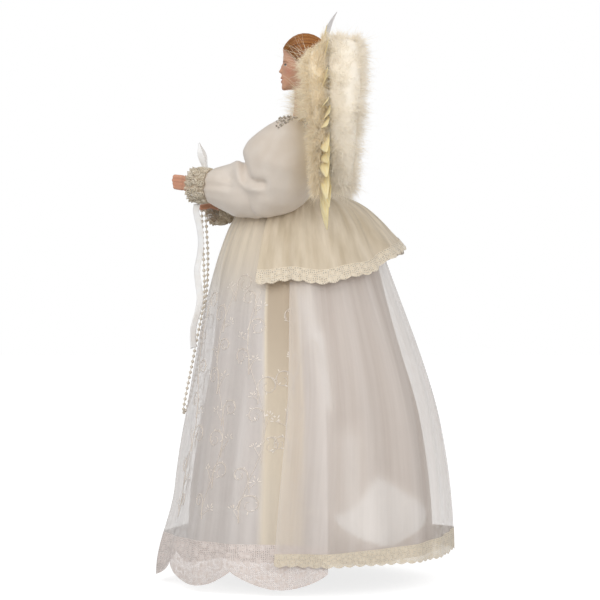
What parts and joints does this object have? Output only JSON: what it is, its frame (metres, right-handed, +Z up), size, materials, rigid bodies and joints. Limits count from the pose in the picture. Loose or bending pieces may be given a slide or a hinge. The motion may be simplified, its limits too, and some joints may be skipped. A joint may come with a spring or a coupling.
{
  "type": "angel tree topper",
  "caption": "Tree-top angel figure with bisque head and hands, layered lace gown over a card cone, posable arms and folding feathered wings.",
  "frame": {"origin": "middle of the open mouth of the card cone that slips over the treetop", "axes": "+Z up along the cone, the angel faces -Y and its left arm is on +X"},
  "size_m": [0.239, 0.2083, 0.3845],
  "materials": {
    "card": "matt buff card",
    "calico": "plain unbleached cotton, stuffed",
    "bisque": "unglazed, tinted flesh colour and painted",
    "auburn_hair": "combed mohair fibre",
    "satin": "soft sheen, ivory",
    "organza": "sheer, ivory, embroidered at the front",
    "chiffon": "sheer, cream",
    "lace": "open net with corded edges",
    "beads": "pearl lustre",
    "wire": "soft steel wire",
    "feather": "dyed goose feather, pale ivory yellow",
    "marabou": "long soft down"
  },
  "bodies": {
    "figure": {"tree_cone": "card", "torso": "calico", "shoulder_head": "bisque", "hair_wig": "auburn_hair", "hair_bun": "auburn_hair", "bodice": "satin", "neck_bead_trim": "beads", "waistband": "satin", "satin_underskirt": "satin", "front_panel": "organza", "front_lace_hem": "lace", "overskirt": "organza", "overskirt_lace_hem": "lace", "peplum": "chiffon", "peplum_lace_hem": "lace", "wing_anchor": "card"},
    "left_arm": {"left_arm_wire": "wire", "left_forearm": "bisque", "left_sleeve": "satin", "left_cuff_lace": "lace", "ribbon_bow": "satin"},
    "right_arm": {"right_arm_wire": "wire", "right_forearm": "bisque", "right_sleeve": "satin", "right_cuff_lace": "lace"},
    "left_streamer": {"ribbon_streamer": "satin"},
    "right_pearls": {"pearl_strand": "beads"},
    "left_wing": {"left_wing_wire": "wire", "left_wing_card": "card", "left_primary_1": "feather", "left_primary_2": "feather", "left_primary_3": "feather", "left_primary_4": "feather", "left_primary_5": "feather", "left_primary_6": "feather", "left_primary_7": "feather", "left_primary_8": "feather", "left_coverts": "feather", "left_front_marabou": "marabou", "left_back_marabou": "marabou"},
    "right_wing": {"right_wing_wire": "wire", "right_wing_card": "card", "right_primary_1": "feather", "right_primary_2": "feather", "right_primary_3": "feather", "right_primary_4": "feather", "right_primary_5": "feather", "right_primary_6": "feather", "right_primary_7": "feather", "right_primary_8": "feather", "right_coverts": "feather", "right_front_marabou": "marabou", "right_back_marabou": "marabou"}
  },
  "joints": [
    {"name": "left_arm_raise", "type": "hinge", "parent": "figure", "child": "left_arm", "pos_m": [0.021, 0.002, 0.282], "axis": [-1, 0, 0], "range_deg": [0, 35]},
    {"name": "right_arm_raise", "type": "hinge", "parent": "figure", "child": "right_arm", "pos_m": [-0.021, 0.002, 0.282], "axis": [-1, 0, 0], "range_deg": [0, 35]},
    {"name": "streamer_swing", "type": "hinge", "parent": "left_arm", "child": "left_streamer", "pos_m": [0.013, -0.069, 0.2352], "axis": [-1, 0, 0], "range_deg": [-35, 0]},
    {"name": "pearl_swing", "type": "hinge", "parent": "right_arm", "child": "right_pearls", "pos_m": [-0.007, -0.065, 0.2315], "axis": [-1, 0, 0], "range_deg": [-35, 0]},
    {"name": "left_wing_fold", "type": "hinge", "parent": "figure", "child": "left_wing", "pos_m": [0.009, 0.0196, 0.272], "axis": [0, 0, 1], "range_deg": [0, 45]},
    {"name": "right_wing_fold", "type": "hinge", "parent": "figure", "child": "right_wing", "pos_m": [-0.009, 0.0196, 0.272], "axis": [0, 0, -1], "range_deg": [0, 45]}
  ],
  "couplings": [
    {"joint": "streamer_swing", "follows": "left_arm_raise", "ratio": -1},
    {"joint": "pearl_swing", "follows": "right_arm_raise", "ratio": -1}
  ]
}
